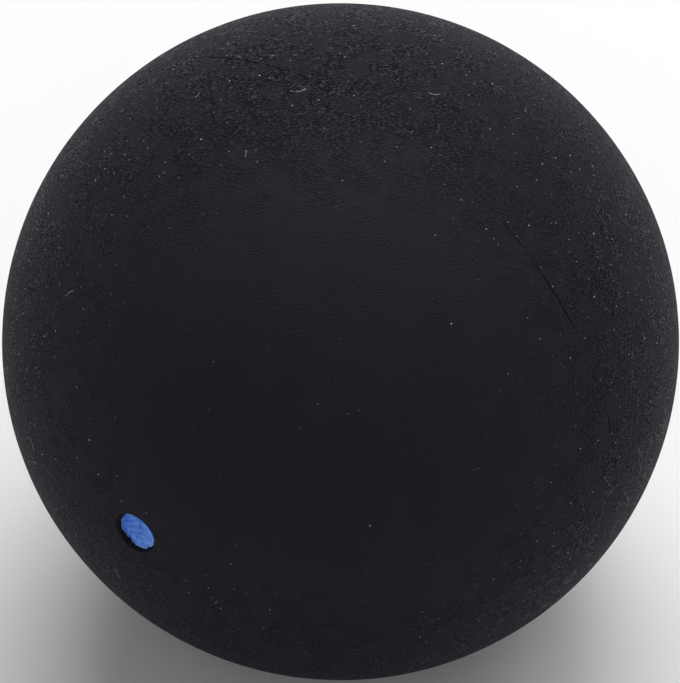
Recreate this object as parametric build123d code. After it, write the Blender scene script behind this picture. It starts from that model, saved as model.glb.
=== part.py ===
"""Squash ball: two moulded rubber half-shells cemented edge to edge, with a painted dot in a moulded dimple.

Every piece is turned about the Y axis. The origin is the ball's centre and +Z is up.
The dot looks along -Y, and the seam between the half-shells lies in the XZ plane.
All sizes are in millimetres, and angles in degrees.
"""

import math
import os

from build123d import *

# Ball
BALL_DIAMETER = 40.0  # outside, over the rubber
WALL = 5.2  # rubber thickness, which brings the ball to its playing weight of 24 g

# Seam
CEMENT_THICKNESS = 0.08  # bond line between the two half-shell edges
CEMENT_SETBACK = 0.04  # how far buffing leaves the bond line below the ball's surface
BEAD_RADIUS = 0.5  # cement pressed out of the joint into the hollow
EDGE_EASE = 0.03  # buffed round on the outer edge of each half-shell

# Dimple for the dot, at the pole of the front half-shell
DIMPLE_DIAMETER = 2.7  # across the mouth
DIMPLE_DEPTH = 0.52  # from the pole of the ball's surface to the flat floor
DIMPLE_DRAFT = 10.0  # slope of the wall, so that the half-shell leaves its mould
DIMPLE_LIP = 0.1  # round at the mouth

# Dot of paint on the dimple's floor
DOT_THICKNESS = 0.2  # of the dried paint
DOT_RIM_ROUND = 0.05  # where the wet paint drew itself round at its rim
DOT_CLEARANCE = 0.02  # from the dot's rim to the foot of the dimple's wall

# Sizes that follow
BALL_RADIUS = BALL_DIAMETER / 2
CAVITY_RADIUS = BALL_RADIUS - WALL
EDGE_OFFSET = CEMENT_THICKNESS / 2
DIMPLE_FLOOR_Y = BALL_RADIUS - DIMPLE_DEPTH
DIMPLE_MOUTH_RADIUS = DIMPLE_DIAMETER / 2
DIMPLE_MOUTH_Y = math.sqrt(BALL_RADIUS**2 - DIMPLE_MOUTH_RADIUS**2)
DIMPLE_WALL_SLOPE = math.tan(math.radians(DIMPLE_DRAFT))
DIMPLE_FLOOR_RADIUS = DIMPLE_MOUTH_RADIUS - (DIMPLE_MOUTH_Y - DIMPLE_FLOOR_Y) * DIMPLE_WALL_SLOPE
DIMPLE_TOP_RADIUS = DIMPLE_MOUTH_RADIUS + (BALL_RADIUS - DIMPLE_MOUTH_Y) * DIMPLE_WALL_SLOPE
DOT_RADIUS = DIMPLE_FLOOR_RADIUS - DOT_CLEARANCE

# Profiles are drawn with the pole on +Y. A half turn about Z brings the front ones to -Y.
TO_FRONT = Rot(Z=180)


def half_shell_profile():
    """Quarter ring from the bonded edge up to the pole, with its outer edge buffed round."""
    ring = Circle(BALL_RADIUS) - Circle(CAVITY_RADIUS)
    quarter = Pos(0, EDGE_OFFSET) * Rectangle(BALL_RADIUS, BALL_RADIUS, align=Align.MIN)
    profile = ring & quarter
    outer_edge = profile.vertices().sort_by_distance((BALL_RADIUS, EDGE_OFFSET))[0]
    return fillet(outer_edge, EDGE_EASE)


def dimple_profile():
    """Half section of the dimple, from its floor to the height of the pole."""
    return make_face(
        Polyline(
            (0, DIMPLE_FLOOR_Y),
            (DIMPLE_FLOOR_RADIUS, DIMPLE_FLOOR_Y),
            (DIMPLE_TOP_RADIUS, BALL_RADIUS),
            (0, BALL_RADIUS),
            close=True,
        )
    )


def rear_half_shell():
    """Plain moulded half-shell."""
    return revolve(half_shell_profile(), Axis.Y)


def front_half_shell():
    """Moulded half-shell with the dot's dimple at its pole."""
    profile = half_shell_profile() - dimple_profile()
    lip = profile.vertices().sort_by_distance((DIMPLE_MOUTH_RADIUS, DIMPLE_MOUTH_Y))[0]
    return TO_FRONT * revolve(fillet(lip, DIMPLE_LIP), Axis.Y)


def seam_cement():
    """Ring of cement between the bonded edges, with the bead that it forms on the wall of the hollow."""
    film_end = BALL_RADIUS - CEMENT_SETBACK
    film_start = CAVITY_RADIUS - BEAD_RADIUS / 2
    film = Pos(film_start, 0) * Rectangle(
        film_end - film_start, CEMENT_THICKNESS, align=(Align.MIN, Align.CENTER)
    )
    bead = Pos(CAVITY_RADIUS, 0) * Circle(BEAD_RADIUS) & Circle(CAVITY_RADIUS)
    return revolve(film + bead, Axis.Y)


def colour_dot():
    """Pool of paint on the dimple's floor, round at its rim."""
    profile = Pos(0, DIMPLE_FLOOR_Y) * Rectangle(DOT_RADIUS, DOT_THICKNESS, align=Align.MIN)
    rim = profile.vertices().sort_by_distance((DOT_RADIUS, DIMPLE_FLOOR_Y + DOT_THICKNESS))[0]
    return TO_FRONT * revolve(fillet(rim, DOT_RIM_ROUND), Axis.Y)


PIECES = {
    "front_half_shell": front_half_shell,
    "rear_half_shell": rear_half_shell,
    "seam_cement": seam_cement,
    "colour_dot": colour_dot,
}

os.makedirs("parts", exist_ok=True)
for name, make in PIECES.items():
    piece = make()
    export_step(piece, f"parts/{name}.step")
    print(f"{name}: {piece.volume:.2f} mm3")
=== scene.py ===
# %% [markdown]
# # A squash ball
#
# A squash ball is simple on purpose: two half-shells of black rubber, moulded as bowls, cemented
# edge to edge and then buffed all over until the seam is a hairline. A dot of paint in a small
# moulded dimple tells how fast the ball is. This lesson dresses the solid model of such a ball: it
# keeps the model's sizes and places, and gives each piece a finer mesh and a finish that follows
# the real material.
#
# First comes the frame. The solids are already at their real size, in metres, with the ball's
# centre at the origin, so every new piece is made where its solid is and nothing is moved
# afterwards.

# %% Load the frame
import math

import bpy
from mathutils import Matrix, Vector


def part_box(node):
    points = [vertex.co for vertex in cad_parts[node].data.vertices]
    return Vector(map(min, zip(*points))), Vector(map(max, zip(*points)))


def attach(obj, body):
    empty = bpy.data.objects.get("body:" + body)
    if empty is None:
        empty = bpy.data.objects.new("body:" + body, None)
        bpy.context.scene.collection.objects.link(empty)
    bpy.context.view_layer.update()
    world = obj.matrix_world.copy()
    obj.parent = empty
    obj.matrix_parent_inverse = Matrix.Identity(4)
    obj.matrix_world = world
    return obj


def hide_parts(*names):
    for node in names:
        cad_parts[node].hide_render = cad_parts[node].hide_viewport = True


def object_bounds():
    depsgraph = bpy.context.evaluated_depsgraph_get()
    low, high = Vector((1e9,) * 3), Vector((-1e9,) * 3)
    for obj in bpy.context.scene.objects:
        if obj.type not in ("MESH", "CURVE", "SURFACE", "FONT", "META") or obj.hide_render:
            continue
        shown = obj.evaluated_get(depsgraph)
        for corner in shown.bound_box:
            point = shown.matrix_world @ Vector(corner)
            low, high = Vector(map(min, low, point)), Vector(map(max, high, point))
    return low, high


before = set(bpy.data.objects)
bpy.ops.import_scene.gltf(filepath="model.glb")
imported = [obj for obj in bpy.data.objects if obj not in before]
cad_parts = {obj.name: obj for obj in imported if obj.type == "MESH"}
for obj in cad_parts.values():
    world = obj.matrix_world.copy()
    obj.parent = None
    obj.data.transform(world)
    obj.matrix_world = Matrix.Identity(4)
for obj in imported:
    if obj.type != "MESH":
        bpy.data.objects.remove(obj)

CAD_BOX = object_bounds()
print("pieces of the solid model:", ", ".join(sorted(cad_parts)))

# %% [markdown]
# ## Sizes
#
# A size that can be measured on the frame is measured, so that it stays right if the solid model
# changes. The few that a box can't tell, such as the wall's thickness, are written here once, in
# millimetres times MM.

# %% Sizes of the ball
MM = 0.001

BALL_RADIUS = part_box("rear_half_shell")[1].y
SEAM_HALF_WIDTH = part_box("rear_half_shell")[0].y
BEAD_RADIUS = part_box("seam_cement")[1].y
PAINT_TOP_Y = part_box("colour_dot")[0].y
DIMPLE_FLOOR_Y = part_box("colour_dot")[1].y
DOT_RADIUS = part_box("colour_dot")[1].x

WALL = 5.2 * MM
EDGE_EASE = 0.03 * MM
DIMPLE_RADIUS = 1.35 * MM
DIMPLE_FLOOR_RADIUS = 1.266 * MM
DIMPLE_LIP = 0.1 * MM
CAVITY_RADIUS = BALL_RADIUS - WALL

print(f"ball {2 * BALL_RADIUS / MM:.1f} mm across, seam {2 * SEAM_HALF_WIDTH / MM:.2f} mm wide")
print(f"dimple {(BALL_RADIUS + DIMPLE_FLOOR_Y) / MM:.2f} mm deep")
print(f"dot {2 * DOT_RADIUS / MM:.2f} mm across")

# %% [markdown]
# ## One function for nodes
#
# Both the shapes and the finishes are made with nodes. A node needs settings, numbers on its inputs
# and links to other nodes, and this one function does all three: an input that is given a socket is
# linked, and any other value is set. It hands back one output socket, so calls can be read like a
# sentence from the inside out.

# %% Add a node
def add(tree, kind, inputs=None, out=0, **settings):
    made = tree.nodes.new(kind)
    for name, value in settings.items():
        setattr(made, name, value)
    for key, value in (inputs or {}).items():
        if isinstance(value, bpy.types.NodeSocket):
            tree.links.new(value, made.inputs[key])
        else:
            made.inputs[key].default_value = value
    return made.outputs[out]


trial = bpy.data.node_groups.new("trial", "GeometryNodeTree")
add(trial, "ShaderNodeMath", {0: add(trial, "GeometryNodeInputIndex"), 1: 2.0}, operation="MULTIPLY")
print("a trial tree has", len(trial.nodes), "nodes and", len(trial.links), "link")
bpy.data.node_groups.remove(trial)

# %% [markdown]
# ## The outline that is turned
#
# Each half-shell is a bowl, so it is a flat outline turned about the Y axis, as clay is on a wheel.
# The outline runs from the middle of the outside, over the edge that is bonded, to the middle of
# the hollow. A row of points could be typed in, but the rule is shorter: arcs, with stations that
# crowd together near an edge. The crowding matters, because smooth shading spreads the bend of an
# edge over the next face, however wide it is.

# %% Stations along an outline
RING_SPACING = 0.24 * MM
RING_AT_EDGE = 0.02 * MM


def stations(length, coarse, fine):
    """Distances from 0 to length. Their steps double from fine, at both ends, until they are coarse."""
    near_end = [0.0]
    step = fine
    while step < coarse:
        near_end.append(near_end[-1] + step)
        step *= 2
    middle = length - 2 * near_end[-1]
    count = math.ceil(middle / coarse)
    between = [near_end[-1] + middle * i / count for i in range(1, count)]
    return near_end + between + [length - d for d in reversed(near_end)]


def arc(centre, radius, start, stop, coarse, fine):
    """Points (out from the axis, along the axis) of an arc, with its angles in radians."""
    points = []
    for distance in stations(abs(stop - start) * radius, coarse, fine):
        angle = start + math.copysign(distance / radius, stop - start)
        points.append((centre[0] + radius * math.cos(angle), centre[1] + radius * math.sin(angle)))
    return points


quarter_round = math.pi / 2 * BALL_RADIUS
print(len(stations(quarter_round, RING_SPACING, RING_AT_EDGE)), "rings from pole to seam")

# %% Outline of a half-shell
ROUND_STEP = 0.012 * MM
HOLLOW_SPACING = 1.2 * MM
# Rings across the dimple's floor and up its wall, as shares of the way, closer towards a corner
FLOOR_SHARES = (0, 0.5, 0.9)
WALL_SHARES = (0, 0.1, 0.5, 0.9)


def bonded_edge_and_hollow():
    """From the buffed round of the outer edge, across the bonded face, to the middle of the hollow."""
    round_centre = (
        math.sqrt((BALL_RADIUS - EDGE_EASE) ** 2 - (SEAM_HALF_WIDTH + EDGE_EASE) ** 2),
        SEAM_HALF_WIDTH + EDGE_EASE,
    )
    meets_ball = math.asin(round_centre[1] / (BALL_RADIUS - EDGE_EASE))
    points = arc(round_centre, EDGE_EASE, meets_ball, -math.pi / 2, ROUND_STEP, ROUND_STEP)
    hollow_start = math.asin(SEAM_HALF_WIDTH / CAVITY_RADIUS)
    points += arc((0, 0), CAVITY_RADIUS, hollow_start, math.pi / 2, HOLLOW_SPACING, HOLLOW_SPACING)
    return meets_ball, points


def plain_outline():
    """A bowl, from the pole of its outside to the middle of its hollow."""
    seam_angle, edge = bonded_edge_and_hollow()
    outside = arc((0, 0), BALL_RADIUS, math.pi / 2, seam_angle, RING_SPACING, RING_AT_EDGE)
    return outside[:-1] + edge


def dimpled_outline():
    """The same bowl, starting from the floor of the dimple and going up its wall and over its lip."""
    seam_angle, edge = bonded_edge_and_hollow()
    floor_height = -DIMPLE_FLOOR_Y
    wall_lean = math.atan((DIMPLE_RADIUS - DIMPLE_FLOOR_RADIUS) / (BALL_RADIUS - floor_height))
    lip_distance = DIMPLE_RADIUS + DIMPLE_LIP
    lip_centre = (lip_distance, math.sqrt((BALL_RADIUS - DIMPLE_LIP) ** 2 - lip_distance**2))
    meets_ball = math.atan2(lip_centre[1], lip_centre[0])
    lip = arc(lip_centre, DIMPLE_LIP, math.pi - wall_lean, meets_ball, ROUND_STEP, ROUND_STEP)
    outside = arc((0, 0), BALL_RADIUS, meets_ball, seam_angle, RING_SPACING, RING_AT_EDGE)
    wall = [
        (
            DIMPLE_FLOOR_RADIUS + (lip[0][0] - DIMPLE_FLOOR_RADIUS) * share,
            floor_height + (lip[0][1] - floor_height) * share,
        )
        for share in WALL_SHARES
    ]
    floor = [(DIMPLE_FLOOR_RADIUS * share, floor_height) for share in FLOOR_SHARES]
    return floor + wall + lip[:-1] + outside[:-1] + edge


print("outline points:", len(plain_outline()), "plain,", len(dimpled_outline()), "with the dimple")

# %% [markdown]
# ## The wheel: a Geometry Nodes tree that turns an outline
#
# Blender can turn an outline with its Screw modifier or with the Spin operator. A Geometry Nodes
# tree is used here because it can also buff the rubber in the same pass, with sizes that stay open
# to change. It lays out a grid, one column for each step of the turn and one row for each point of
# the outline, and then wraps the grid round the Y axis. Points that land on each other at the join
# and at the poles are merged.
#
# The buffing is three small moves, each from a noise texture on the place in space, so that
# neighbours which share an edge move alike: shallow waves in the skin that only take rubber away, a
# bond line whose edge is sunk in dashes, and a slight wander of the seam.

# %% Named inputs of the tree
BUFF_INPUTS = {
    "Wave depth": "NodeSocketFloat",
    "Wave length": "NodeSocketFloat",
    "Seam wander": "NodeSocketFloat",
    "Wander length": "NodeSocketFloat",
    "Bond depth": "NodeSocketFloat",
    "Bond stretch": "NodeSocketFloat",
    "Dash length": "NodeSocketFloat",
    "Outer radius": "NodeSocketFloat",
    "Steps": "NodeSocketInt",
    "Points": "NodeSocketInt",
    "Turn": "NodeSocketFloat",
    "Seed": "NodeSocketFloat",
    "Material": "NodeSocketMaterial",
}


def new_tree(name, inputs):
    """An empty Geometry Nodes tree, with its input node and its output node."""
    tree = bpy.data.node_groups.new(name, "GeometryNodeTree")
    tree.interface.new_socket("Geometry", in_out="INPUT", socket_type="NodeSocketGeometry")
    for label, kind in inputs.items():
        tree.interface.new_socket(label, in_out="INPUT", socket_type=kind)
    tree.interface.new_socket("Geometry", in_out="OUTPUT", socket_type="NodeSocketGeometry")
    source = tree.nodes.new("NodeGroupInput").outputs
    result = tree.nodes.new("NodeGroupOutput").inputs
    return tree, source, result


print("inputs of the buffing tree:", ", ".join(BUFF_INPUTS))

# %% Wrap a grid round the axis
MERGE_WITHIN = 0.001 * MM


def wrap_round_axis(tree, source):
    """The outline's points, copied to every step of the turn and joined up by a grid's faces."""
    columns = add(tree, "ShaderNodeMath", {0: source["Steps"], 1: 1.0}, operation="ADD")
    grid = add(tree, "GeometryNodeMeshGrid", {"Vertices X": columns, "Vertices Y": source["Points"]})
    index = add(tree, "GeometryNodeInputIndex")
    row = add(tree, "ShaderNodeMath", {0: index, 1: source["Points"]}, operation="MODULO")
    column = add(tree, "ShaderNodeMath", {0: index, 1: source["Points"]}, operation="DIVIDE")
    column = add(tree, "ShaderNodeMath", {0: column}, operation="FLOOR")
    share = add(tree, "ShaderNodeMath", {0: column, 1: source["Steps"]}, operation="DIVIDE")
    turned_by = add(tree, "ShaderNodeMath", {0: share, 1: source["Turn"]}, operation="MULTIPLY")
    drawn = add(tree, "GeometryNodeInputPosition")
    outline = add(
        tree,
        "GeometryNodeSampleIndex",
        {"Geometry": source["Geometry"], "Value": drawn, "Index": row},
        data_type="FLOAT_VECTOR",
    )
    placed = add(
        tree,
        "ShaderNodeVectorRotate",
        {"Vector": outline, "Axis": (0, 1, 0), "Angle": turned_by},
        rotation_type="AXIS_ANGLE",
    )
    wrapped = add(tree, "GeometryNodeSetPosition", {"Geometry": grid, "Position": placed})
    return add(tree, "GeometryNodeMergeByDistance", {"Geometry": wrapped, "Distance": MERGE_WITHIN})


print(f"points within {MERGE_WITHIN / MM} mm of each other are merged")

# %% Waves in the skin
SKIN_DEPTH = 0.3 * MM


def skin_share(tree, source, place):
    """1 on the outer skin and 0 well below it, so that the hollow and the bonded faces stay put."""
    outer = source["Outer radius"]
    height = add(tree, "ShaderNodeVectorMath", {0: place}, out="Value", operation="LENGTH")
    skin_start = add(tree, "ShaderNodeMath", {0: outer, 1: SKIN_DEPTH}, operation="SUBTRACT")
    return add(
        tree,
        "ShaderNodeMapRange",
        {"Value": height, "From Min": skin_start, "From Max": outer},
        interpolation_type="SMOOTHSTEP",
    )


def wave_cut(tree, source, place):
    """How deep the buffing wheel cut: shallow waves, left where it pressed harder."""
    scale = add(tree, "ShaderNodeMath", {0: 1.0, 1: source["Wave length"]}, operation="DIVIDE")
    waves = add(
        tree,
        "ShaderNodeTexNoise",
        {"Vector": place, "W": source["Seed"], "Scale": scale, "Detail": 3.0, "Roughness": 0.45},
        noise_dimensions="4D",
    )
    return add(tree, "ShaderNodeMath", {0: waves, 1: source["Wave depth"]}, operation="MULTIPLY")


print(f"the moves fade out {SKIN_DEPTH / MM:.1f} mm below the skin")

# %% Dashes of the bond line
FLUSH_BELOW, OPEN_ABOVE = 0.46, 0.60  # levels of the broad noise along the seam
SMEARED_BELOW, DASH_ABOVE = 0.43, 0.55  # levels of the fine noise along the seam


def seam_ring(tree, source, place):
    """The nearest place on the seam's circle, so that everything beside it reads the same noise."""
    ring = add(tree, "ShaderNodeVectorMath", {0: place, 1: (1, 0, 1)}, operation="MULTIPLY")
    ring = add(tree, "ShaderNodeVectorMath", {0: ring}, operation="NORMALIZE")
    outer = source["Outer radius"]
    return add(tree, "ShaderNodeVectorMath", {0: ring, "Scale": outer}, operation="SCALE")


def sunk_dashes(tree, source, ring):
    """How deep the bond line lies: flush in some stretches, and sunk in dashes in others."""
    stretch_scale = add(tree, "ShaderNodeMath", {0: 1.0, 1: source["Bond stretch"]}, operation="DIVIDE")
    stretches = add(
        tree,
        "ShaderNodeTexNoise",
        {"Vector": ring, "W": source["Seed"], "Scale": stretch_scale, "Detail": 2.0},
        noise_dimensions="4D",
    )
    open_seam = add(
        tree,
        "ShaderNodeMapRange",
        {"Value": stretches, "From Min": FLUSH_BELOW, "From Max": OPEN_ABOVE},
        interpolation_type="SMOOTHSTEP",
    )
    # Within an open stretch the buffing dragged rubber across the line, which leaves dashes of it
    dash_scale = add(tree, "ShaderNodeMath", {0: 1.0, 1: source["Dash length"]}, operation="DIVIDE")
    dashes = add(
        tree,
        "ShaderNodeTexNoise",
        {"Vector": ring, "W": source["Seed"], "Scale": dash_scale, "Detail": 1.0},
        noise_dimensions="4D",
    )
    dashes = add(
        tree, "ShaderNodeMapRange", {"Value": dashes, "From Min": SMEARED_BELOW, "From Max": DASH_ABOVE}
    )
    open_seam = add(tree, "ShaderNodeMath", {0: open_seam, 1: dashes}, operation="MULTIPLY")
    return add(tree, "ShaderNodeMath", {0: open_seam, 1: source["Bond depth"]}, operation="MULTIPLY")


print(f"the bond line is flush below {FLUSH_BELOW} of its noise and open above {OPEN_ABOVE}")

# %% Wander of the seam, and the three moves together
SEAM_REACH = 0.6 * MM


def seam_wander(tree, source, place, ring):
    """A slight wander along the axis, which fades out beside the seam."""
    scale = add(tree, "ShaderNodeMath", {0: 1.0, 1: source["Wander length"]}, operation="DIVIDE")
    wander = add(
        tree,
        "ShaderNodeTexNoise",
        {"Vector": ring, "W": source["Seed"], "Scale": scale, "Detail": 1.0},
        noise_dimensions="4D",
    )
    wander = add(tree, "ShaderNodeMapRange", {"Value": wander, "To Min": -1.0, "To Max": 1.0})
    along = add(tree, "ShaderNodeSeparateXYZ", {0: place}, out="Y")
    beside = add(tree, "ShaderNodeMath", {0: along}, operation="ABSOLUTE")
    near_seam = add(
        tree,
        "ShaderNodeMapRange",
        {"Value": beside, "From Min": SEAM_REACH, "From Max": 0.0},
        interpolation_type="SMOOTHSTEP",
    )
    wander = add(tree, "ShaderNodeMath", {0: wander, 1: near_seam}, operation="MULTIPLY")
    wander = add(tree, "ShaderNodeMath", {0: wander, 1: source["Seam wander"]}, operation="MULTIPLY")
    return add(tree, "ShaderNodeCombineXYZ", {"Y": wander})


def buffed(tree, source, turned):
    """The turned surface, pressed inwards by the waves and dashes and moved along by the wander."""
    place = add(tree, "GeometryNodeInputPosition")
    ring = seam_ring(tree, source, place)
    cut = wave_cut(tree, source, place)
    sunk = sunk_dashes(tree, source, ring)
    on_skin = skin_share(tree, source, place)
    depth = add(tree, "ShaderNodeMath", {0: cut, 1: sunk}, operation="ADD")
    depth = add(tree, "ShaderNodeMath", {0: depth, 1: on_skin}, operation="MULTIPLY")
    inward = add(tree, "ShaderNodeMath", {0: depth, 1: -1.0}, operation="MULTIPLY")
    outward = add(tree, "ShaderNodeVectorMath", {0: place}, operation="NORMALIZE")
    pressed = add(tree, "ShaderNodeVectorMath", {0: outward, "Scale": inward}, operation="SCALE")
    sideways = seam_wander(tree, source, place, ring)
    move = add(tree, "ShaderNodeVectorMath", {0: pressed, 1: sideways}, operation="ADD")
    return add(tree, "GeometryNodeSetPosition", {"Geometry": turned, "Offset": move})


print(f"the seam's wander fades out {SEAM_REACH / MM:.1f} mm to each side")

# %% The whole tree
def finished_tree(name, inputs, work):
    """A tree that turns an outline, works on the turned surface and gives it its material."""
    tree, source, result = new_tree(name, inputs)
    worked = work(tree, source, wrap_round_axis(tree, source))
    smooth = add(tree, "GeometryNodeSetShadeSmooth", {"Geometry": worked})
    real = add(tree, "GeometryNodeRealizeInstances", {"Geometry": smooth})
    finish = source["Material"]
    dressed = add(tree, "GeometryNodeSetMaterial", {"Geometry": real, "Material": finish})
    tree.links.new(dressed, result["Geometry"])
    print(name, "has", len(tree.nodes), "nodes and", len(inputs), "named inputs")
    return tree


BUFFING = finished_tree("turn_and_buff", BUFF_INPUTS, buffed)

# %% [markdown]
# ## From nodes to a plain mesh
#
# The tree's result is turned into an ordinary mesh, and the modifier that made it is taken off.
# Inputs are set by their identifiers before the object is first evaluated. Edges sharper than a set
# angle stay crisp.

# %% Run a tree and keep its mesh
CRISP_ANGLE = math.radians(50)


def run_tree(name, outline, tree, sizes):
    """An object whose mesh is what the tree makes of the outline at these sizes."""
    wire = bpy.data.meshes.new(name)
    wire.from_pydata([(out, along, 0) for out, along in outline], [], [])
    piece = bpy.data.objects.new(name, wire)
    bpy.context.scene.collection.objects.link(piece)
    modifier = piece.modifiers.new("make", "NODES")
    modifier.node_group = tree
    for item in tree.interface.items_tree:
        if item.name in sizes:
            modifier[item.identifier] = sizes[item.name]
    ready = piece.evaluated_get(bpy.context.evaluated_depsgraph_get())
    mesh = bpy.data.meshes.new_from_object(ready)
    piece.modifiers.remove(modifier)
    piece.data = mesh
    mesh.name = name
    mesh.set_sharp_from_angle(angle=CRISP_ANGLE)
    bpy.data.meshes.remove(wire)
    triangles = sum(len(face.vertices) - 2 for face in mesh.polygons)
    print(f"{name}: {len(mesh.vertices)} points, {triangles} triangles")
    return piece


print(f"edges sharper than {math.degrees(CRISP_ANGLE):.0f} degrees stay crisp")

# %% [markdown]
# ## Colours
#
# Colours are written as people pick them, in sRGB hex, and one function turns them to the linear
# values that the renderer works in.

# %% sRGB hex to linear
def rgba(hex_colour):
    channels = [int(hex_colour[i:i + 2], 16) / 255 for i in (1, 3, 5)]
    linear = [c / 12.92 if c <= 0.04045 else ((c + 0.055) / 1.055) ** 2.4 for c in channels]
    return (*linear, 1.0)


print(f"middle grey #808080 is {rgba('#808080')[0]:.3f} in linear light")

# %% [markdown]
# ## Finish: vulcanised black rubber, buffed matt
#
# Moulded rubber comes out of its mould with a dull shine. Buffing takes that off and leaves the skin
# of a squash ball: a soft black with a breath of violet, almost no highlight, and a paler rim where
# light grazes it. Seen close, the wheel has torn the skin into short marks, less than a fifth of a
# millimetre wide, with a finer grain between them. They are strong in some patches and soft in
# others, and one side of this ball has been rubbed almost smooth since. The tips of the marks are
# smoother than the pits and painted paler, as wear, and the pits are painted darker, as shade.
#
# All of it is drawn in the material, in millimetres on the ball itself, because the marks are finer
# than a mesh of sensible size can hold.

# %% Marks of the buffing wheel
CELLS_PER_WAVE = 1.7  # a noise texture's waves are about this many of its cells long
MARK_WIDTH_MM = 0.17
MARK_LENGTH_MM = 0.36
UPPER_RUN = Vector((0.70, 0.70, 0.15))
LOWER_RUN = Vector((0.38, 0.81, 0.44))
UPPER_ABOVE_MM, LOWER_BELOW_MM = 9.0, -3.0  # heights between which one run turns into the other
UPPER_SEED, LOWER_SEED = 3.0, 4.0


def marks_along(tree, place, run, seed):
    """Short marks, drawn out along one run of the wheel."""
    along, across = MARK_LENGTH_MM / CELLS_PER_WAVE, MARK_WIDTH_MM / CELLS_PER_WAVE
    lie = run.to_track_quat("X", "Z").to_euler()
    drawn_out = add(
        tree,
        "ShaderNodeMapping",
        {"Vector": place, "Rotation": lie, "Scale": (along, across, across)},
        vector_type="TEXTURE",
    )
    return add(
        tree,
        "ShaderNodeTexNoise",
        {"Vector": drawn_out, "W": seed, "Scale": 1.0, "Detail": 0.0, "Distortion": 0.5},
        noise_dimensions="4D",
    )


def marks(tree, place):
    """Marks whose run turns from the ball's top to its bottom, as the ball rolls under the wheel."""
    height = add(tree, "ShaderNodeSeparateXYZ", {0: place}, out="Z")
    lower = add(
        tree,
        "ShaderNodeMapRange",
        {"Value": height, "From Min": UPPER_ABOVE_MM, "From Max": LOWER_BELOW_MM},
    )
    upper_marks = marks_along(tree, place, UPPER_RUN, UPPER_SEED)
    lower_marks = marks_along(tree, place, LOWER_RUN, LOWER_SEED)
    return add(tree, "ShaderNodeMix", {0: lower, 2: upper_marks, 3: lower_marks})


print(f"marks {MARK_WIDTH_MM} mm wide and {MARK_LENGTH_MM} mm long")

# %% Patches where the wheel bit harder
PATCH_WAVE_MM = 34.0
PATCH_SEED = 875.5
PATCH_SOFT_BELOW, PATCH_FULL_ABOVE = 0.37, 0.61  # levels of the patches' noise
SOFTEST_PATCH = 0.6
PATCH_LEAST = 0.07  # what is left of the marks where the ball is rubbed smooth
RUBBED_SIDE = Vector((0.46, -0.70, 0.54))
RUBBED_WITHIN = math.radians(28)
TORN_BEYOND = math.radians(60)
NOISE_LOW, NOISE_HIGH = 0.42, 0.58  # levels that most of a noise texture lies between
TUFT_WAVE_MM = 2.4
TUFT_SEED = 7.0
TUFT_LEAST = 0.3


def patches(tree, place, least):
    """From the least value, on the side that is rubbed smooth, up to 1, where the wheel bit hardest."""
    patch = add(
        tree,
        "ShaderNodeTexNoise",
        {"Vector": place, "W": PATCH_SEED, "Scale": CELLS_PER_WAVE / PATCH_WAVE_MM, "Detail": 1.0},
        noise_dimensions="4D",
    )
    patch = add(
        tree,
        "ShaderNodeMapRange",
        {
            "Value": patch,
            "From Min": PATCH_SOFT_BELOW,
            "From Max": PATCH_FULL_ABOVE,
            "To Min": SOFTEST_PATCH,
        },
    )
    outward = add(tree, "ShaderNodeVectorMath", {0: place}, operation="NORMALIZE")
    toward = add(
        tree,
        "ShaderNodeVectorMath",
        {0: outward, 1: RUBBED_SIDE},
        out="Value",
        operation="DOT_PRODUCT",
    )
    torn = add(
        tree,
        "ShaderNodeMapRange",
        {"Value": toward, "From Min": math.cos(RUBBED_WITHIN), "From Max": math.cos(TORN_BEYOND)},
        interpolation_type="SMOOTHSTEP",
    )
    torn = add(tree, "ShaderNodeMath", {0: torn, 1: patch}, operation="MULTIPLY")
    return add(tree, "ShaderNodeMapRange", {"Value": torn, "To Min": least})


def bite(tree, place):
    """How hard the wheel bit: broad patches, broken up by smaller tufts, from almost 0 to 1."""
    tuft = add(
        tree,
        "ShaderNodeTexNoise",
        {"Vector": place, "W": TUFT_SEED, "Scale": CELLS_PER_WAVE / TUFT_WAVE_MM, "Detail": 2.0},
        noise_dimensions="4D",
    )
    tuft = add(
        tree,
        "ShaderNodeMapRange",
        {"Value": tuft, "From Min": NOISE_LOW, "From Max": NOISE_HIGH, "To Min": TUFT_LEAST},
    )
    broad = patches(tree, place, PATCH_LEAST)
    return add(tree, "ShaderNodeMath", {0: broad, 1: tuft}, operation="MULTIPLY")


smooth_to, torn_from = math.degrees(RUBBED_WITHIN), math.degrees(TORN_BEYOND)
print(f"smooth within {smooth_to:.0f} degrees of the rubbed side's middle, torn from {torn_from:.0f}")

# %% The buffed skin
GRAIN_WAVE_MM = 0.14
GRAIN_SHARE = 0.15
UNTOUCHED = 0.5  # height of the skin where the wheel didn't bite


def buffed_skin(tree, place):
    """The skin's height: 0 in a pit, 1 on a tip, and near the middle where the wheel hardly bit."""
    grain_scale = CELLS_PER_WAVE / GRAIN_WAVE_MM
    grain = add(tree, "ShaderNodeTexNoise", {"Vector": place, "Scale": grain_scale, "Detail": 1.0})
    torn = add(tree, "ShaderNodeMix", {0: GRAIN_SHARE, 2: marks(tree, place), 3: grain})
    torn = add(
        tree, "ShaderNodeMapRange", {"Value": torn, "From Min": NOISE_LOW, "From Max": NOISE_HIGH}
    )
    return add(tree, "ShaderNodeMix", {0: bite(tree, place), 2: UNTOUCHED, 3: torn})


print(f"grain of {GRAIN_WAVE_MM} mm makes up {GRAIN_SHARE:.0%} of the skin's height")

# %% [markdown]
# ## Dust and lint
#
# Rubber gathers dust: pale specks, most of them faint and a few solid, and here and there a short
# fibre. They stick where the skin is torn, lie thicker on top than underneath, and come in drifts.
# Small meshes could be scattered, but a Voronoi texture is lighter: it gives each cell of space a
# middle and dice of its own, which is all that a speck or a fibre needs.

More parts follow.
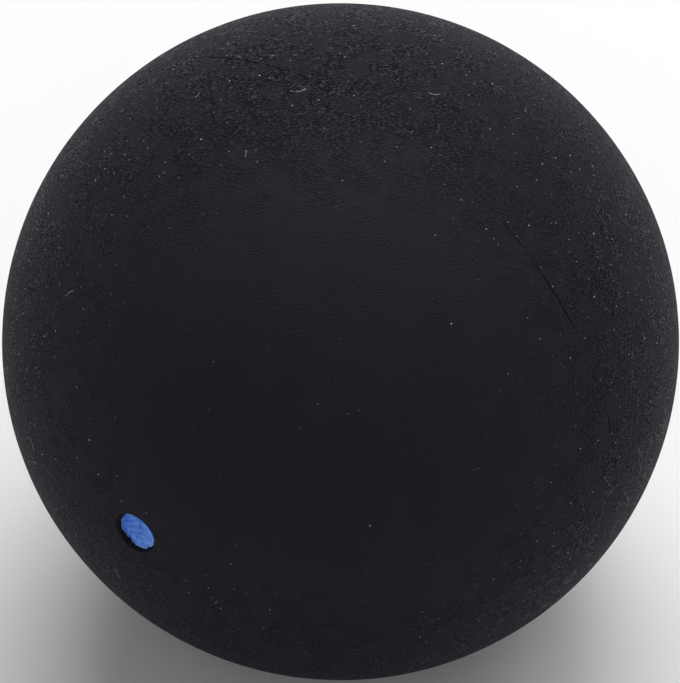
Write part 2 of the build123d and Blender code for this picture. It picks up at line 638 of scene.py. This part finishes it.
# %% Specks of dust
SPECK_CELL_MM = 1.3
SPECK_RADIUS_MM = (0.035, 0.06)
SPECK_SOFT_MM = 0.03
FAINTEST_SPECK = 0.25
SPECK_TAIL = -0.85  # most specks are faint, and a few are solid
LEAST_DUST = 0.04
UNDERSIDE_BELOW_MM, TOP_ABOVE_MM = -14.0, 6.0
UNDERSIDE_DUST = 0.4
DRIFT_WAVE_MM = 8.0
DRIFT_THIN_BELOW, DRIFT_THICK_ABOVE = 0.38, 0.62  # levels of the drifts' noise
THIN_DRIFT, THICK_DRIFT = 0.4, 1.4


def from_cell_middle(tree, place, cell_mm):
    """Each place's step from the middle of its random cell, and the cell's own random colour."""
    middle = add(tree, "ShaderNodeTexVoronoi", {"Vector": place, "Scale": 1 / cell_mm}, out="Position")
    step = add(tree, "ShaderNodeVectorMath", {0: place, 1: middle}, operation="SUBTRACT")
    return step, middle.node.outputs["Color"]


def settled(tree, place):
    """How much dust has gathered: most where the skin is torn and catches it, and in drifts."""
    caught = patches(tree, place, LEAST_DUST)
    height = add(tree, "ShaderNodeSeparateXYZ", {0: place}, out="Z")
    on_top = add(
        tree,
        "ShaderNodeMapRange",
        {
            "Value": height,
            "From Min": UNDERSIDE_BELOW_MM,
            "From Max": TOP_ABOVE_MM,
            "To Min": UNDERSIDE_DUST,
        },
    )
    drift_scale = CELLS_PER_WAVE / DRIFT_WAVE_MM
    drift = add(tree, "ShaderNodeTexNoise", {"Vector": place, "Scale": drift_scale, "Detail": 2.0})
    drift = add(
        tree,
        "ShaderNodeMapRange",
        {
            "Value": drift,
            "From Min": DRIFT_THIN_BELOW,
            "From Max": DRIFT_THICK_ABOVE,
            "To Min": THIN_DRIFT,
            "To Max": THICK_DRIFT,
        },
    )
    dust = add(tree, "ShaderNodeMath", {0: caught, 1: on_top}, operation="MULTIPLY")
    return add(tree, "ShaderNodeMath", {0: dust, 1: drift}, operation="MULTIPLY")


def dust_specks(tree, place, outward):
    """One soft round speck in each cell, as thick as its own dice and the dust there make it."""
    step, dice = from_cell_middle(tree, place, SPECK_CELL_MM)
    across = add(tree, "ShaderNodeVectorMath", {0: outward, 1: step}, operation="CROSS_PRODUCT")
    distance = add(tree, "ShaderNodeVectorMath", {0: across}, out="Value", operation="LENGTH")
    chances = add(tree, "ShaderNodeSeparateColor", {0: dice}).node.outputs
    smallest, largest = SPECK_RADIUS_MM
    radius = add(
        tree, "ShaderNodeMapRange", {"Value": chances["Red"], "To Min": smallest, "To Max": largest}
    )
    inside = add(tree, "ShaderNodeMath", {0: radius, 1: distance}, operation="SUBTRACT")
    speck = add(tree, "ShaderNodeMapRange", {"Value": inside, "From Max": SPECK_SOFT_MM})
    thickness = add(tree, "ShaderNodeMath", {0: chances["Green"], 1: SPECK_TAIL}, operation="POWER")
    dust = settled(tree, place)
    thickness = add(tree, "ShaderNodeMath", {0: thickness, 1: dust}, operation="MULTIPLY")
    thickness = add(tree, "ShaderNodeMath", {0: thickness, 1: FAINTEST_SPECK}, operation="MULTIPLY")
    thickness = add(tree, "ShaderNodeMath", {0: thickness, 1: 1.0}, operation="MINIMUM")
    return add(tree, "ShaderNodeMath", {0: speck, 1: thickness}, operation="MULTIPLY")


skin_area_mm2 = 4 * math.pi * (BALL_RADIUS / MM) ** 2
print(f"about {skin_area_mm2 / SPECK_CELL_MM**2:.0f} cells of the skin can hold a speck")

# %% Fibres of lint
FIBRE_CELL_MM = 6.5
FIBRE_SHIFT_MM = (3.0, 40.0, 7.0)  # which of the endless cells land on the ball
FIBRE_LENGTH_MM = 0.95
FIBRE_WIDTH_MM = 0.02
FIBRE_CORE_MM = FIBRE_WIDTH_MM / 3
FIBRE_BOW = 1.4
FIBRE_SHARE = 0.25
DICE_MIDDLE = (0.5, 0.5, 0.5)


def lint_fibres(tree, place, outward):
    """A short bowed fibre in some of the larger cells."""
    shifted = add(tree, "ShaderNodeVectorMath", {0: place, 1: FIBRE_SHIFT_MM}, operation="ADD")
    step, dice = from_cell_middle(tree, shifted, FIBRE_CELL_MM)
    aim = add(tree, "ShaderNodeVectorMath", {0: dice, 1: DICE_MIDDLE}, operation="SUBTRACT")
    along = add(tree, "ShaderNodeVectorMath", {0: outward, 1: aim}, operation="CROSS_PRODUCT")
    along = add(tree, "ShaderNodeVectorMath", {0: along}, operation="NORMALIZE")
    side = add(tree, "ShaderNodeVectorMath", {0: outward, 1: along}, operation="CROSS_PRODUCT")
    x = add(tree, "ShaderNodeVectorMath", {0: step, 1: along}, out="Value", operation="DOT_PRODUCT")
    y = add(tree, "ShaderNodeVectorMath", {0: step, 1: side}, out="Value", operation="DOT_PRODUCT")
    chances = add(tree, "ShaderNodeSeparateColor", {0: dice}).node.outputs
    # The fibre's line is y = curl times x squared
    curl = add(
        tree,
        "ShaderNodeMapRange",
        {"Value": chances["Blue"], "To Min": -FIBRE_BOW, "To Max": FIBRE_BOW},
    )
    bow = add(tree, "ShaderNodeMath", {0: x, 1: x}, operation="MULTIPLY")
    bow = add(tree, "ShaderNodeMath", {0: bow, 1: curl}, operation="MULTIPLY")
    off_line = add(tree, "ShaderNodeMath", {0: y, 1: bow}, operation="SUBTRACT")
    off_line = add(tree, "ShaderNodeMath", {0: off_line}, operation="ABSOLUTE")
    on_line = add(
        tree,
        "ShaderNodeMapRange",
        {"Value": off_line, "From Min": FIBRE_WIDTH_MM, "From Max": FIBRE_CORE_MM},
    )
    from_middle = add(tree, "ShaderNodeMath", {0: x}, operation="ABSOLUTE")
    half_length = FIBRE_LENGTH_MM / 2
    reach = add(tree, "ShaderNodeMath", {0: chances["Green"], 1: half_length}, operation="MULTIPLY")
    within = add(tree, "ShaderNodeMath", {0: from_middle, 1: reach}, operation="LESS_THAN")
    there = add(tree, "ShaderNodeMath", {0: chances["Red"], 1: FIBRE_SHARE}, operation="LESS_THAN")
    fibre = add(tree, "ShaderNodeMath", {0: on_line, 1: within}, operation="MULTIPLY")
    return add(tree, "ShaderNodeMath", {0: fibre, 1: there}, operation="MULTIPLY")


fibre_cells = skin_area_mm2 / FIBRE_CELL_MM**2
print(f"about {fibre_cells * FIBRE_SHARE:.0f} cells of the skin hold a fibre")

# %% The rubber
MARK_DEPTH = 0.34 * MM
# How far the colour is painted darker in the pits, as shade, and paler on the tips, as wear
PIT_SHADE_AND_TIP_WEAR = 0.5
TIP_ROUGHNESS = 0.4
FIBRE_LEAST = 0.15
CLOUD_WAVE_MM = 5.0
DARK_RUBBER, PALE_RUBBER = "#15141a", "#1c1b22"
DUST_COLOUR = "#cccad2"
GRAZING_COLOUR = "#b4a8ff"


def new_material(name):
    """An empty material, with the ball's own coordinates in millimetres, and its shader's inputs."""
    material = bpy.data.materials.new(name)
    material.use_nodes = True
    tree = material.node_tree
    tree.nodes.clear()
    own = add(tree, "ShaderNodeTexCoord", out="Object")
    place = add(tree, "ShaderNodeVectorMath", {0: own, "Scale": 1 / MM}, operation="SCALE")
    shader = add(tree, "ShaderNodeBsdfPrincipled")
    result = tree.nodes.new("ShaderNodeOutputMaterial")
    tree.links.new(shader, result.inputs["Surface"])
    return material, tree, place, shader.node.inputs


def buffed_black_rubber():
    """Rubber torn by buffing, which gives the eye a deep matt black with a soft pale rim."""
    material, tree, place, shader = new_material("black_rubber_buffed")
    outward = add(tree, "ShaderNodeVectorMath", {0: place}, operation="NORMALIZE")
    skin = buffed_skin(tree, place)
    cloud_scale = CELLS_PER_WAVE / CLOUD_WAVE_MM
    cloud = add(tree, "ShaderNodeTexNoise", {"Vector": place, "Scale": cloud_scale, "Detail": 4.0})
    black = add(
        tree,
        "ShaderNodeMix",
        {0: cloud, 6: rgba(DARK_RUBBER), 7: rgba(PALE_RUBBER)},
        out=2,
        data_type="RGBA",
    )
    # Painted shade and wear: the pits are painted darker, as shade, and the tips paler, as wear
    rubbed = add(
        tree,
        "ShaderNodeMapRange",
        {"Value": skin, "To Min": 1 - PIT_SHADE_AND_TIP_WEAR, "To Max": 1 + PIT_SHADE_AND_TIP_WEAR},
    )
    black = add(tree, "ShaderNodeVectorMath", {0: black, "Scale": rubbed}, operation="SCALE")
    specks = dust_specks(tree, place, outward)
    fibres = lint_fibres(tree, place, outward)
    caught = patches(tree, place, FIBRE_LEAST)
    fibres = add(tree, "ShaderNodeMath", {0: fibres, 1: caught}, operation="MULTIPLY")
    dust = add(tree, "ShaderNodeMath", {0: specks, 1: fibres}, operation="MAXIMUM")
    colour = add(
        tree,
        "ShaderNodeMix",
        {0: dust, 6: black, 7: rgba(DUST_COLOUR)},
        out=2,
        data_type="RGBA",
    )
    tree.links.new(colour, shader["Base Color"])
    # Light grazes off the tips and is lost in the pits
    roughness = add(tree, "ShaderNodeMapRange", {"Value": skin, "To Min": 1.0, "To Max": TIP_ROUGHNESS})
    tree.links.new(roughness, shader["Roughness"])
    bump = add(tree, "ShaderNodeBump", {"Height": skin, "Distance": MARK_DEPTH})
    tree.links.new(bump, shader["Normal"])
    # The IOR is that of natural rubber. A torn skin mirrors much less of it than a smooth one would.
    shader["IOR"].default_value = 1.52
    shader["Specular IOR Level"].default_value = 0.082
    shader["Sheen Weight"].default_value = 0.012
    shader["Sheen Roughness"].default_value = 0.5
    shader["Sheen Tint"].default_value = rgba(GRAZING_COLOUR)
    return material


RUBBER = buffed_black_rubber()
print(RUBBER.name, "has", len(RUBBER.node_tree.nodes), "nodes")

# %% [markdown]
# ## The two half-shells
#
# Both bowls come off the same wheel. The front one has the dimple and is turned to face the other
# way, which is a half turn and not a mirror image, so its faces still point outwards.

# %% Turn the half-shells
FULL_TURN = 2 * math.pi
BUFFED = {
    "Wave depth": 0.03 * MM,
    "Wave length": 3.5 * MM,
    "Seam wander": 0.07 * MM,
    "Wander length": 0.8 * MM,
    "Bond depth": 0.0,
    "Bond stretch": 6.0 * MM,
    "Dash length": 0.7 * MM,
    "Outer radius": BALL_RADIUS,
    "Steps": 480,
    "Turn": FULL_TURN,
    "Seed": 121.0,
}


def turn(name, outline, node, tree, sizes):
    """A turned piece that stands for one node of the solid model."""
    piece = run_tree(name, outline, tree, sizes | {"Points": len(outline)})
    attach(piece, "root")
    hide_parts(node)


rear_sizes = BUFFED | {"Material": RUBBER}
turn("rear_shell", plain_outline(), "rear_half_shell", BUFFING, rear_sizes)

front_outline = [(out, -along) for out, along in dimpled_outline()]
front_sizes = BUFFED | {"Material": RUBBER, "Turn": -FULL_TURN}
turn("front_shell", front_outline, "front_half_shell", BUFFING, front_sizes)

# %% [markdown]
# ## The bond line
#
# The cement is a thin washer between the two bowls, with a bead inside where it was pressed out.
# Only its outer edge shows, as the seam. On a buffed ball that line comes and goes, so the washer's
# edge is flush in some stretches and sunk in dashes in others. A sunk edge is dark because light
# can't get in, which needs no dark paint.

# %% Finish of the cement
CEMENT_GRAIN_MM = 0.2
CEMENT_GRAIN_DEPTH = 0.01 * MM
DARK_CEMENT, PALE_CEMENT = "#101013", "#17161a"


def cured_cement():
    """Cement that cured in the joint, which gives the eye a black as deep as the rubber's."""
    material, tree, place, shader = new_material("rubber_cement_cured")
    grain_scale = 1 / CEMENT_GRAIN_MM
    grain = add(tree, "ShaderNodeTexNoise", {"Vector": place, "Scale": grain_scale, "Detail": 2.0})
    colour = add(
        tree,
        "ShaderNodeMix",
        {0: grain, 6: rgba(DARK_CEMENT), 7: rgba(PALE_CEMENT)},
        out=2,
        data_type="RGBA",
    )
    tree.links.new(colour, shader["Base Color"])
    bump = add(tree, "ShaderNodeBump", {"Height": grain, "Distance": CEMENT_GRAIN_DEPTH})
    tree.links.new(bump, shader["Normal"])
    shader["Roughness"].default_value = 0.7
    shader["Specular IOR Level"].default_value = 0.15
    return material


CEMENT = cured_cement()
print(CEMENT.name, "has", len(CEMENT.node_tree.nodes), "nodes")

# %% Shape of the cement
BOND_DEPTH = 0.045 * MM
BOND_STEPS = 960
BEAD_STEP = BEAD_RADIUS / 5


def bond_outline():
    """Round the washer: the bead first, then out along one side, over the edge and back."""
    half = SEAM_HALF_WIDTH
    edge = BALL_RADIUS - EDGE_EASE / 2
    near_edge = edge - 2 * SKIN_DEPTH
    foot = math.sqrt(CAVITY_RADIUS**2 - half**2)
    meets = math.acos(BEAD_RADIUS / (2 * CAVITY_RADIUS))
    bead_middle = (CAVITY_RADIUS, 0)
    bead = arc(bead_middle, BEAD_RADIUS, math.pi - meets, math.pi + meets, BEAD_STEP, BEAD_STEP)
    out_along_one_side = [(foot, -half), (near_edge, -half), (edge, -half)]
    back = [(edge, half), (near_edge, half), (foot, half)]
    return bead + out_along_one_side + back + bead[:1]


bond_sizes = BUFFED | {"Material": CEMENT, "Bond depth": BOND_DEPTH, "Steps": BOND_STEPS}
turn("bond_line", bond_outline(), "seam_cement", BUFFING, bond_sizes)

# %% [markdown]
# ## The dot
#
# The dot is a drop of flexible paint, dabbed into the dimple by hand or by a pin. Wet paint climbs
# the wall a little and dries with a raised rim, a ragged outline and the curved streaks of the dab.
# Its rim is painted paler, as wear and as a painted highlight, and one side of it is painted lit and
# the other shaded. A second small tree takes a turned disc and dabs it: the rim rises and draws in
# here and there, and the top keeps a few ripples. It also stores how near each point is to the rim,
# which the finish reads.

# %% Finish of the paint
MOTTLE_MM = 0.5
PAINT_SEED = 4.0
STREAK_MM = 0.42  # from one streak of the dab to the next
STREAK_TURNS_PER_UNIT = 20 / (2 * math.pi)  # of a wave texture at scale 1
STREAK_SHARE = 0.1
STREAK_DEPTH = 0.03 * MM
DAB_MIDDLE_MM = Vector((0.35, -19.7, -0.9))
# The blue is painted brighter towards +X and darker towards -X, as painted light and shade
LIT_SIDE_REACH_MM = 1.2
LIT_SIDE_LIGHTENING = 0.16
# Levels of the cover, which holds the painted light and shade as well as the mottle
THIN_AND_SHADED_BELOW, THICK_AND_LIT_ABOVE = 0.3, 0.65  # levels of the cover
# The rim is painted paler, as wear and as a painted highlight
WEAR_AND_HIGHLIGHT_FROM, WEAR_AND_HIGHLIGHT_FULL = 0.25, 0.6  # levels of the cover at the rim
THIN_AND_SHADED_BLUE, THICK_AND_LIT_BLUE, WORN_AND_HIGHLIT_BLUE = "#1d55bb", "#6295ea", "#8fb2ec"


def dabbed_paint():
    """Dabbed satin blue paint: mottled, painted lit on one side and shaded on the other, with a worn,
    highlit rim.
    """
    material, tree, place, shader = new_material("blue_paint_dabbed")
    mottle = add(
        tree,
        "ShaderNodeTexNoise",
        {"Vector": place, "W": PAINT_SEED, "Scale": 1 / MOTTLE_MM, "Detail": 3.0, "Distortion": 1.0},
        noise_dimensions="4D",
    )
    from_dab = add(tree, "ShaderNodeVectorMath", {0: place, 1: DAB_MIDDLE_MM}, operation="SUBTRACT")
    streaks = add(
        tree,
        "ShaderNodeTexWave",
        {
            "Vector": from_dab,
            "Scale": 1 / (STREAK_MM * STREAK_TURNS_PER_UNIT),
            "Distortion": 6.0,
            "Detail": 2.0,
            "Detail Scale": 1.2,
        },
        wave_type="RINGS",
        rings_direction="SPHERICAL",
    )
    drawn = add(tree, "ShaderNodeMix", {0: STREAK_SHARE, 2: mottle, 3: streaks})
    # Painted light and shade: the blue is painted brighter towards +X and darker towards -X.
    # Where the mottle is low, thin paint lets the black rubber show.
    toward_lit_side = add(tree, "ShaderNodeSeparateXYZ", {0: place}, out="X")
    painted_lit_side = add(
        tree,
        "ShaderNodeMapRange",
        {
            "Value": toward_lit_side,
            "From Min": -LIT_SIDE_REACH_MM,
            "From Max": LIT_SIDE_REACH_MM,
            "To Min": -LIT_SIDE_LIGHTENING,
            "To Max": LIT_SIDE_LIGHTENING,
        },
    )
    cover_and_lit_side = add(tree, "ShaderNodeMath", {0: drawn, 1: painted_lit_side}, operation="ADD")
    thick_and_lit_share = add(
        tree, "ShaderNodeMapRange", {"Value": cover_and_lit_side, "From Min": THIN_AND_SHADED_BELOW, "From Max": THICK_AND_LIT_ABOVE}
    )
    blue = add(
        tree,
        "ShaderNodeMix",
        {0: thick_and_lit_share, 6: rgba(THIN_AND_SHADED_BLUE), 7: rgba(THICK_AND_LIT_BLUE)},
        out=2,
        data_type="RGBA",
    )
    rim = add(tree, "ShaderNodeAttribute", out="Fac", attribute_name="rim")
    # The rim is painted paler, as wear and as a painted highlight, more where the cover is high, which
    # takes in the painted lit side
    worn_and_highlit_rim = add(tree, "ShaderNodeMath", {0: rim, 1: cover_and_lit_side}, operation="MULTIPLY")
    worn_and_highlit_rim = add(
        tree, "ShaderNodeMapRange", {"Value": worn_and_highlit_rim, "From Min": WEAR_AND_HIGHLIGHT_FROM, "From Max": WEAR_AND_HIGHLIGHT_FULL}
    )
    colour = add(tree, "ShaderNodeMix", {0: worn_and_highlit_rim, 6: blue, 7: rgba(WORN_AND_HIGHLIT_BLUE)}, out=2, data_type="RGBA")
    tree.links.new(colour, shader["Base Color"])
    bump = add(tree, "ShaderNodeBump", {"Height": drawn, "Distance": STREAK_DEPTH})
    tree.links.new(bump, shader["Normal"])
    shader["Roughness"].default_value = 0.5
    shader["IOR"].default_value = 1.48
    shader["Specular IOR Level"].default_value = 0.2
    return material


PAINT = dabbed_paint()
print(PAINT.name, "has", len(PAINT.node_tree.nodes), "nodes")

# %% Dab the paint
DAB_INPUTS = {
    "Draw in": "NodeSocketFloat",
    "Rim rise": "NodeSocketFloat",
    "Lobes": "NodeSocketFloat",
    "Ripple": "NodeSocketFloat",
    "Ripple length": "NodeSocketFloat",
    "Dot radius": "NodeSocketFloat",
    "Steps": "NodeSocketInt",
    "Points": "NodeSocketInt",
    "Turn": "NodeSocketFloat",
    "Seed": "NodeSocketFloat",
    "Material": "NodeSocketMaterial",
}
RIM_STARTS, RIM_FULL = 0.91, 0.97  # shares of the dot's radius
RIM_PULL = 3.0  # power of the share, which keeps the drawing in to the rim
LOBE_STARTS, LOBE_FULL = 0.5, 0.75  # levels of the lobes' noise


def dabbed(tree, source, disc):
    """The turned disc with its rim drawn in and raised, and its top rippled."""
    place = add(tree, "GeometryNodeInputPosition")
    flat = add(tree, "ShaderNodeVectorMath", {0: place, 1: (1, 0, 1)}, operation="MULTIPLY")
    outward = add(tree, "ShaderNodeVectorMath", {0: flat}, operation="NORMALIZE")
    distance = add(tree, "ShaderNodeVectorMath", {0: flat}, out="Value", operation="LENGTH")
    share = add(tree, "ShaderNodeMath", {0: distance, 1: source["Dot radius"]}, operation="DIVIDE")
    at_rim = add(tree, "ShaderNodeMath", {0: share, 1: RIM_PULL}, operation="POWER")
    # The rim draws in here and there, in a few lobes round the dot
    lobes = add(
        tree,
        "ShaderNodeTexNoise",
        {
            "Vector": outward,
            "W": source["Seed"],
            "Scale": source["Lobes"],
            "Detail": 4.0,
            "Roughness": 0.6,
        },
        noise_dimensions="4D",
    )
    drawn = add(
        tree, "ShaderNodeMapRange", {"Value": lobes, "From Min": LOBE_STARTS, "From Max": LOBE_FULL}
    )
    drawn = add(tree, "ShaderNodeMath", {0: drawn, 1: at_rim}, operation="MULTIPLY")
    drawn = add(tree, "ShaderNodeMath", {0: drawn, 1: source["Draw in"]}, operation="MULTIPLY")
    inward = add(tree, "ShaderNodeMath", {0: drawn, 1: -1.0}, operation="MULTIPLY")
    pulled = add(tree, "ShaderNodeVectorMath", {0: outward, "Scale": inward}, operation="SCALE")
    # The top keeps the ripples of the dab, and the underside stays flat on the rubber
    scale = add(tree, "ShaderNodeMath", {0: 1.0, 1: source["Ripple length"]}, operation="DIVIDE")
    ripple = add(
        tree,
        "ShaderNodeTexNoise",
        {"Vector": place, "W": source["Seed"], "Scale": scale, "Detail": 2.0, "Distortion": 0.8},
        noise_dimensions="4D",
    )
    ripple = add(tree, "ShaderNodeMath", {0: ripple, 1: source["Ripple"]}, operation="MULTIPLY")
    height = add(tree, "ShaderNodeSeparateXYZ", {0: place}, out="Y")
    on_top = add(
        tree,
        "ShaderNodeMapRange",
        {"Value": height, "From Min": DIMPLE_FLOOR_Y, "From Max": PAINT_TOP_Y},
    )
    # The rim stands higher, and the dot's outside is the way of -Y
    rim = add(
        tree,
        "ShaderNodeMapRange",
        {"Value": share, "From Min": RIM_STARTS, "From Max": RIM_FULL},
        interpolation_type="SMOOTHSTEP",
    )
    rise = add(tree, "ShaderNodeMath", {0: rim, 1: source["Rim rise"]}, operation="MULTIPLY")
    lift = add(tree, "ShaderNodeMath", {0: ripple, 1: rise}, operation="SUBTRACT")
    lift = add(tree, "ShaderNodeMath", {0: lift, 1: on_top}, operation="MULTIPLY")
    lifted = add(tree, "ShaderNodeCombineXYZ", {"Y": lift})
    move = add(tree, "ShaderNodeVectorMath", {0: pulled, 1: lifted}, operation="ADD")
    marked = add(
        tree, "GeometryNodeStoreNamedAttribute", {"Geometry": disc, "Name": "rim", "Value": rim}
    )
    return add(tree, "GeometryNodeSetPosition", {"Geometry": marked, "Offset": move})


DABBING = finished_tree("turn_and_dab", DAB_INPUTS, dabbed)

# %% Shape of the dot
DOT_RINGS = 22
DOT_RIM_ROUND = 0.05 * MM
DOT_GAP = 0.004 * MM  # from the dot's rim to the foot of the dimple's wall
RIM_ANGLES = (0, 0.4, 0.8, 1.2, math.pi / 2)
DABBED = {
    "Draw in": 0.24 * MM,
    "Rim rise": 0.05 * MM,
    "Lobes": 2.6,
    "Ripple": 0.05 * MM,
    "Ripple length": 0.45 * MM,
    "Dot radius": DOT_RADIUS,
    "Steps": 240,
    "Turn": -FULL_TURN,
    "Seed": 9.0,
    "Material": PAINT,
}


def dot_outline():
    """From the middle of the paint's top, over its round rim, to the middle of its underside."""
    top, base = PAINT_TOP_Y, DIMPLE_FLOOR_Y
    rim = DOT_RIM_ROUND
    reach = DIMPLE_FLOOR_RADIUS - DOT_GAP
    flat = reach - rim
    points = [(flat * i / DOT_RINGS, top) for i in range(DOT_RINGS)]
    points += [(flat + rim * math.sin(a), top + rim * (1 - math.cos(a))) for a in RIM_ANGLES]
    return points + [(reach, base), (0, base)]


turn("dot", dot_outline(), "colour_dot", DABBING, DABBED)

# %% [markdown]
# ## Camera
#
# The photograph shows a circle, so its middle and its radius in pixels fix where the camera points
# and how long its lens is. The dot and the seam fix the angle: the dot is the pole of the circle that
# the seam runs on.

# %% Camera of the photograph
PHOTO_WIDTH, PHOTO_HEIGHT = 680, 683
BALL_MIDDLE_PX = (340.55, 341.68)
BALL_RADIUS_PX = 338.83
CAMERA_AZIMUTH, CAMERA_ELEVATION = 36.7, 44.1
CAMERA_DISTANCE = 32 * BALL_RADIUS


def bearing(azimuth, elevation):
    """The way from the ball at two angles in degrees: round from the front, and up from the floor."""
    round_angle, up_angle = math.radians(azimuth), math.radians(elevation)
    level = math.cos(up_angle)
    return Vector((math.sin(round_angle) * level, -math.cos(round_angle) * level, math.sin(up_angle)))


def aimed_at_ball(name, data, place):
    """An object for a lamp or a camera that looks at the ball's centre."""
    holder = bpy.data.objects.new(name, data)
    holder.location = place
    holder.rotation_euler = (-place).to_track_quat("-Z", "Y").to_euler()
    bpy.context.scene.collection.objects.link(holder)
    return holder


def photo_camera():
    camera = bpy.data.cameras.new("photo_camera")
    long_side = max(PHOTO_WIDTH, PHOTO_HEIGHT)
    limb = BALL_RADIUS / math.sqrt(CAMERA_DISTANCE**2 - BALL_RADIUS**2)
    camera.lens = BALL_RADIUS_PX / long_side * camera.sensor_width / limb
    camera.shift_x = (PHOTO_WIDTH / 2 - BALL_MIDDLE_PX[0]) / long_side
    camera.shift_y = (BALL_MIDDLE_PX[1] - PHOTO_HEIGHT / 2) / long_side
    place = bearing(CAMERA_AZIMUTH, CAMERA_ELEVATION) * CAMERA_DISTANCE
    bpy.context.scene.camera = aimed_at_ball("photo_camera", camera, place)
    print(f"lens {camera.lens:.0f} mm at {CAMERA_DISTANCE:.2f} m")


photo_camera()

# %% [markdown]
# ## Floor and light
#
# A black ball is photographed on white: it takes its shape from what it mirrors at a glancing angle,
# which is the lit floor all round it, and its underside is dark because it sees only its own shadow.
# Most of the light comes from large soft boxes above and behind, with a little from beside the
# camera.

# %% White floor and backdrop
FLOOR_SIZE = 3.0
FILL_LEVEL = 0.3  # light from all round
BACKDROP_LEVEL = 1.0  # what the camera and mirrored rays see beyond the floor
PAPER_WHITE, BACKDROP_WHITE = "#e6e6e6", "#ffffff"


def white_floor():
    """Matt white paper, which gives the eye a pale ground with the ball's soft shadow on it."""
    half = FLOOR_SIZE / 2
    z = CAD_BOX[0].z
    corners = [(-half, -half, z), (half, -half, z), (half, half, z), (-half, half, z)]
    mesh = bpy.data.meshes.new("floor")
    mesh.from_pydata(corners, [], [(0, 1, 2, 3)])
    floor = bpy.data.objects.new("floor", mesh)
    bpy.context.scene.collection.objects.link(floor)
    material, _, _, shader = new_material("white_paper")
    shader["Base Color"].default_value = rgba(PAPER_WHITE)
    shader["Roughness"].default_value = 1.0
    shader["Specular IOR Level"].default_value = 0.0
    mesh.materials.append(material)
    print(f"floor {FLOOR_SIZE:.0f} m across, {-z / MM:.1f} mm below the ball's centre")


def backdrop():
    world = bpy.data.worlds.new("white_backdrop")
    world.use_nodes = True
    tree = world.node_tree
    path = add(tree, "ShaderNodeLightPath").node.outputs
    seen = path["Is Camera Ray"]
    for also in ("Is Glossy Ray", "Is Transmission Ray"):
        seen = add(tree, "ShaderNodeMath", {0: seen, 1: path[also]}, operation="MAXIMUM")
    strength = add(
        tree, "ShaderNodeMapRange", {"Value": seen, "To Min": FILL_LEVEL, "To Max": BACKDROP_LEVEL}
    )
    background = tree.nodes["Background"].inputs
    background["Color"].default_value = rgba(BACKDROP_WHITE)
    tree.links.new(strength, background["Strength"])
    bpy.context.scene.world = world


white_floor()
backdrop()

# %% Soft boxes
BOX_SIZE = 0.5
BOX_DISTANCE = 0.7
# For each: degrees round from the camera, to the right; degrees up; watts
SOFT_BOXES = {
    "behind": (180, 60, 4.1),
    "right": (120, 60, 1.8),
    "front": (0, 30, 0.7),
}

for name, (to_the_right, up, power) in SOFT_BOXES.items():
    lamp = bpy.data.lights.new(name, "AREA")
    lamp.size = BOX_SIZE
    lamp.energy = power
    aimed_at_ball(name, lamp, bearing(CAMERA_AZIMUTH + to_the_right, up) * BOX_DISTANCE)

bpy.context.scene.view_settings.view_transform = "Standard"
print(len(SOFT_BOXES), "soft boxes,", f"{sum(box[2] for box in SOFT_BOXES.values()):.1f} W in all")
